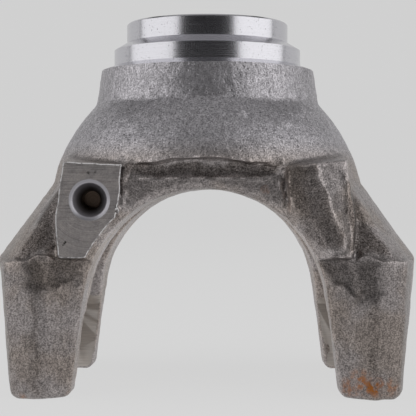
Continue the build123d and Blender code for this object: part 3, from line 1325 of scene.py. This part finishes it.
@dataclass(frozen=True)
class FaceMilledSteel:
    """Face-milled steel: grey and satin, with a level lay above and arcs round the hole below it."""

    name: str = "face_milled_steel"
    metallic: float = 0.75
    metal: str = "#b3aeae"
    stained: str = "#a39c99"
    nick: str = "#2b2624"
    arc_pitch: float = 0.6
    lay_pitch: float = 0.5
    arcs_below: Point = (74.0, 80.0)
    stain_grain: float = 3.2
    speck_grain: float = 0.7
    nicks: tuple[Spot, ...] = (
        Spot((-60.2, -63.0, 66.9), 0.6, 1.0),
        Spot((-59.7, -63.0, 67.5), 0.7, 1.3),
        Spot((-59.2, -63.0, 68.1), 0.7, 1.3),
        Spot((-51.5, -62.8, 98.2), 1.2, 0.7),
        Spot((-49.5, -62.8, 97.4), 1.2, 0.6),
        Spot((-46.5, -62.8, 98.0), 0.9, 0.6),
        Spot((-40.5, -62.8, 93.5), 0.9, 0.6),
        Spot((-38.6, -62.8, 97.5), 0.8, 0.7),
    )

    def build(self) -> bpy.types.Material:
        """Build the milled metal: satin, stained in patches, with the cutter's lines and small nicks.

        Returns:
            The material.
        """
        material, tree, place = start_finish(self.name, self.metallic)
        parts = add_node(tree, "ShaderNodeSeparateXYZ", inputs={0: place})
        arcs = tool_lines(tree, axis_radius(tree, place, HOLE), self.arc_pitch)
        drift = add_node(tree, MATH, {"operation": "MULTIPLY"}, {0: parts.outputs[0], 1: 0.04})
        lay = tool_lines(tree, parts.outputs[2], self.lay_pitch, drift)
        low, high = self.arcs_below
        below = mapped(parts.outputs[2], (low * MM, high * MM), (1.0, 0.0))
        seen = add_node(tree, MAP_RANGE, {"interpolation_type": "SMOOTHSTEP"}, below)
        marks = add_node(tree, MIX, {"data_type": "FLOAT"}, {0: seen, 2: lay, 3: arcs})
        stain = add_node(tree, NOISE, inputs=grained(place, self.stain_grain, 4.0))
        specks = add_node(tree, NOISE, inputs=grained(place, self.speck_grain))
        tone = vary(tree, 1.0, marks, (0.32, 0.68), (0.76, 1.2))
        tone = vary(tree, tone, stain, (0.3, 0.7), (0.8, 1.16))
        tone = vary(tree, tone, specks, (0.3, 0.7), (0.86, 1.12))
        colour = coat(tree, stain, linear(self.metal), linear(self.stained), tone)
        nicked = spotted(tree, place, self.nicks)
        colour = add_node(tree, MIX, {"data_type": "RGBA"}, {0: nicked, 6: colour, 7: linear(self.nick)})
        dull = add_node(tree, MAP_RANGE, inputs=mapped(stain, (0.3, 0.7), (0.38, 0.5)))
        relief = add_node(tree, BUMP, inputs={"Height": marks, "Distance": 0.02 * MM})
        finish_off(tree, colour.outputs[2], dull, relief)
        return material


@dataclass(frozen=True)
class SlotMilledSteel:
    """Side-milled slot walls: satin with a fine level lay and a tan oil film."""

    name: str = "side_milled_steel"
    metallic: float = 0.8
    metal: str = "#d5cfca"
    oiled: str = "#b9b0a8"
    lay_pitch: float = 0.5
    film_grain: float = 6.0

    def build(self) -> bpy.types.Material:
        """Build the milled metal: level lines under an oil film that comes and goes.

        Returns:
            The material.
        """
        material, tree, place = start_finish(self.name, self.metallic)
        parts = add_node(tree, "ShaderNodeSeparateXYZ", inputs={0: place})
        drift = add_node(tree, MATH, {"operation": "MULTIPLY"}, {0: parts.outputs[0], 1: 0.05})
        lay = tool_lines(tree, parts.outputs[2], self.lay_pitch, drift)
        film = add_node(tree, NOISE, inputs=grained(place, self.film_grain, 3.0))
        tone = vary(tree, 1.0, lay, (0.32, 0.68), (0.86, 1.1))
        tone = vary(tree, tone, film, (0.3, 0.7), (0.9, 1.08))
        colour = coat(tree, film, linear(self.metal), linear(self.oiled), tone)
        dull = add_node(tree, MAP_RANGE, inputs=mapped(film, (0.3, 0.7), (0.34, 0.46)))
        relief = add_node(tree, BUMP, inputs={"Height": lay, "Distance": 0.015 * MM})
        finish_off(tree, colour, dull, relief)
        return material


@dataclass(frozen=True)
class DrilledSteel:
    """Drilled and countersunk steel: grey with rings round the hole, and darker brown down the bore as
    painted shade.
    """

    name: str = "drilled_steel"
    metallic: float = 0.9
    metal: str = "#aeacb1"
    bore_shade: str = "#5b4e44"
    bore_shade_depths: Point = (2.3, 7.3)
    ring_pitch: float = 0.45

    def build(self) -> bpy.types.Material:
        """Build the drilled metal: the seat turns to the light, and the bore is painted dark as shade.

        Returns:
            The material.
        """
        material, tree, place = start_finish(self.name, self.metallic)
        depth = add_node(tree, "ShaderNodeSeparateXYZ", inputs={0: place}).outputs[1]
        radius = axis_radius(tree, place, HOLE)
        along = add_node(tree, MATH, {"operation": "ADD"}, {0: radius, 1: depth})
        rings = tool_lines(tree, along, self.ring_pitch)
        # The bore is painted darker and browner with depth, as painted shade
        start, full = self.bore_shade_depths
        darkening = mapped(depth, ((PAD_Y + start) * MM, (PAD_Y + full) * MM), (0.0, 1.0))
        painted_bore_shade = add_node(tree, MAP_RANGE, inputs=darkening)
        tone = vary(tree, 1.0, rings, (0.32, 0.68), (0.65, 1.25))
        colour = coat(tree, painted_bore_shade, linear(self.metal), linear(self.bore_shade), tone)
        dull = add_node(tree, MAP_RANGE, inputs=mapped(rings, (0.3, 0.7), (0.3, 0.42)))
        relief = add_node(tree, BUMP, inputs={"Height": rings, "Distance": 0.03 * MM})
        finish_off(tree, colour, dull, relief)
        return material


@dataclass(frozen=True)
class BurrSteel:
    """Rolled-over edge of the milled face: a thin line that catches the light, coloured near white as a
    painted highlight.
    """

    name: str = "burr_with_painted_highlight"
    metallic: float = 0.45
    # Near white, a painted highlight on top of the bare cut metal
    metal: str = "#f0eeee"
    worn: str = "#a9a4a4"
    wear_grain: float = 1.6

    def build(self) -> bpy.types.Material:
        """Build the burr's metal: near white as a painted highlight, and worn grey here and there.

        Returns:
            The material.
        """
        material, tree, place = start_finish(self.name, self.metallic)
        wear = add_node(tree, NOISE, inputs=grained(place, self.wear_grain, 3.0))
        bright = add_node(tree, MAP_RANGE, inputs=mapped(wear, (0.35, 0.5), (0.0, 1.0)))
        colour = add_node(
            tree, MIX, {"data_type": "RGBA"}, {0: bright, 6: linear(self.worn), 7: linear(self.metal)}
        )
        dull = add_node(tree, MAP_RANGE, inputs=mapped(wear, (0.3, 0.7), (0.4, 0.3)))
        finish_off(tree, colour.outputs[2], dull)
        return material


@dataclass(frozen=True)
class SoftBox:
    """A rectangular lamp that faces the part. Lengths are in metres, power in watts."""

    name: str
    place: Place
    width: float
    height: float
    power: float

    def build(self, target: Place) -> None:
        """Build the lamp.

        Args:
            target: The place that it faces.
        """
        lamp = bpy.data.lights.new(self.name, "AREA")
        lamp.shape = "RECTANGLE"
        lamp.size = self.width
        lamp.size_y = self.height
        lamp.energy = self.power
        holder = bpy.data.objects.new(self.name, lamp)
        bpy.context.scene.collection.objects.link(holder)
        holder.location = self.place
        towards = Vector(target) - Vector(self.place)
        holder.rotation_euler = towards.to_track_quat("-Z", "Y").to_euler()


@dataclass
class Studio:
    """Pale sweep, soft lamps round a dark front, and the photograph's camera. Lengths are in metres."""

    eye_height: float = 0.0894
    distance: float = 0.5736
    turn_deg: float = 1.04
    focal_px: float = 1205.0
    horizon_px: float = 192.0
    axis_px: float = 207.3
    sensor_mm: float = 36.0
    clip_start: float = 0.01
    backdrop: str = "#d5d5d5"
    shown: str = "#dedede"
    room: str = "#19191b"
    evenness: float = 0.86
    sweep_half_width: float = 14.0
    sweep_front: float = -3.0
    sweep_height: float = 5.0
    target: Place = (0.0, 0.0, 0.09)
    lamps: tuple[SoftBox, ...] = (
        SoftBox("left_box", (-0.94, -0.32, 0.52), 1.4, 1.0, 4.9),
        SoftBox("right_box", (0.94, -0.32, 0.52), 1.4, 1.0, 5.4),
        SoftBox("top_box", (0.0, -0.3, 1.7), 2.2, 2.4, 6.2),
    )

    def build(self) -> None:
        """Build the stage, the lamps, the world and the camera."""
        self.build_sweep()
        for lamp in self.lamps:
            lamp.build(self.target)
        self.build_world()
        self.build_camera()

    def build_sweep(self) -> None:
        """Build the floor that curves up into the backdrop."""
        bpy.ops.mesh.primitive_plane_add(size=2)
        sweep = bpy.context.object
        sweep.name = "pale_sweep"
        sweep.scale = (self.sweep_half_width, -self.sweep_front, 1)
        settle(sweep)
        bpy.ops.object.mode_set(mode="EDIT")
        bpy.ops.mesh.select_all(action="DESELECT")
        bpy.ops.object.mode_set(mode="OBJECT")
        for edge in sweep.data.edges:
            edge.select = all(sweep.data.vertices[i].co.y > 0 for i in edge.vertices)
        bpy.ops.object.mode_set(mode="EDIT")
        for move in ((0, 1.0, 0), (0, 0.7, 0.3), (0, 0.3, 0.7), (0, 0, self.sweep_height)):
            bpy.ops.mesh.extrude_region_move(TRANSFORM_OT_translate={"value": move})
        bpy.ops.object.mode_set(mode="OBJECT")
        bpy.ops.object.shade_smooth()
        sweep.data.materials.append(self.backdrop_paper())

    def backdrop_paper(self) -> bpy.types.Material:
        """Build matt paper that looks evenly lit, but still takes the part's soft shadow.

        Returns:
            The paper's material, which adds no light to the part.
        """
        material = bpy.data.materials.new("matt_backdrop_paper")
        material.use_nodes = True
        tree = material.node_tree
        paper = tree.nodes["Principled BSDF"]
        paper.inputs["Base Color"].default_value = linear(self.backdrop)
        paper.inputs["Roughness"].default_value = 1.0
        paper.inputs["Specular IOR Level"].default_value = 0.0
        rays = add_node(tree, "ShaderNodeLightPath")
        seen: Source = rays.outputs["Is Camera Ray"]
        for ray in ("Is Glossy Ray", "Is Transmission Ray"):
            seen = add_node(tree, MATH, {"operation": "MAXIMUM"}, {0: seen, 1: rays.outputs[ray]})
        even = add_node(tree, MATH, {"operation": "MULTIPLY"}, {0: seen, 1: self.evenness})
        flat = add_node(tree, "ShaderNodeEmission", inputs={"Color": linear(self.shown)})
        mixed = add_node(tree, "ShaderNodeMixShader", inputs={0: even, 1: paper, 2: flat})
        tree.links.new(mixed.outputs[0], tree.nodes["Material Output"].inputs["Surface"])
        return material

    def build_world(self) -> None:
        """Build the dim room round the stage, which the camera sees as pale as the backdrop.

        The turned hub keeps the dark room in front of it as its reflection.
        """
        world = bpy.data.worlds.new("room")
        world.use_nodes = True
        tree = world.node_tree
        seen = add_node(tree, "ShaderNodeLightPath").outputs["Is Camera Ray"]
        colours = {0: seen, 6: linear(self.room), 7: linear(self.backdrop)}
        colour = add_node(tree, MIX, {"data_type": "RGBA"}, colours)
        tree.links.new(colour.outputs[2], tree.nodes["Background"].inputs["Color"])
        bpy.context.scene.world = world

    def build_camera(self) -> None:
        """Place the level camera that the photograph was taken with."""
        data = bpy.data.cameras.new("camera")
        data.sensor_width = self.sensor_mm
        data.lens = self.focal_px * self.sensor_mm / PHOTO_PX
        data.shift_x = (PHOTO_PX / 2 - self.axis_px) / PHOTO_PX
        data.shift_y = (self.horizon_px - PHOTO_PX / 2) / PHOTO_PX
        data.clip_start = self.clip_start
        camera = bpy.data.objects.new("camera", data)
        bpy.context.scene.collection.objects.link(camera)
        turn = radians(self.turn_deg)
        camera.location = (self.distance * sin(turn), -self.distance * cos(turn), self.eye_height)
        camera.rotation_euler = (pi / 2, 0, turn)
        bpy.context.scene.camera = camera


def shade_faces(piece: bpy.types.Object) -> None:
    """Shade the skin smooth, and the milled pad, its burr and the hub's top flat.

    Args:
        piece: The machined forging.
    """
    select_only(piece)
    bpy.ops.object.shade_smooth_by_angle(angle=radians(SMOOTH_ANGLE_DEG))
    kinds = read_finishes(piece)
    on_top = (kinds == Finish.TURNED.value) & (read_faces(piece)[1][:, 2] > SQUARE_ON)
    plain = (kinds == Finish.MILLED_PAD.value) | (kinds == Finish.BURR.value) | on_top
    piece.data.polygons.foreach_set("use_smooth", ~plain)


def main() -> None:
    """Build the studio and the part, and log its face count."""
    logging.basicConfig(level=logging.INFO)
    bpy.context.scene.view_settings.view_transform = "Standard"
    Studio().build()
    yoke = Forging().build()
    yoke.name = "yoke_forging"
    yoke.data.materials.clear()
    for finish in (
        ForgedSkin(),
        TurnedSteel(),
        FaceMilledSteel(),
        SlotMilledSteel(),
        DrilledSteel(),
        BurrSteel(),
    ):
        yoke.data.materials.append(finish.build())
    select_only(yoke)
    bpy.ops.object.shade_smooth()
    Machining().build(yoke)
    shade_faces(yoke)
    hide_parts(NODE)
    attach(yoke, "root")
    log.info("%s: %d faces", yoke.name, len(yoke.data.polygons))


if __name__ == "__main__":
    main()
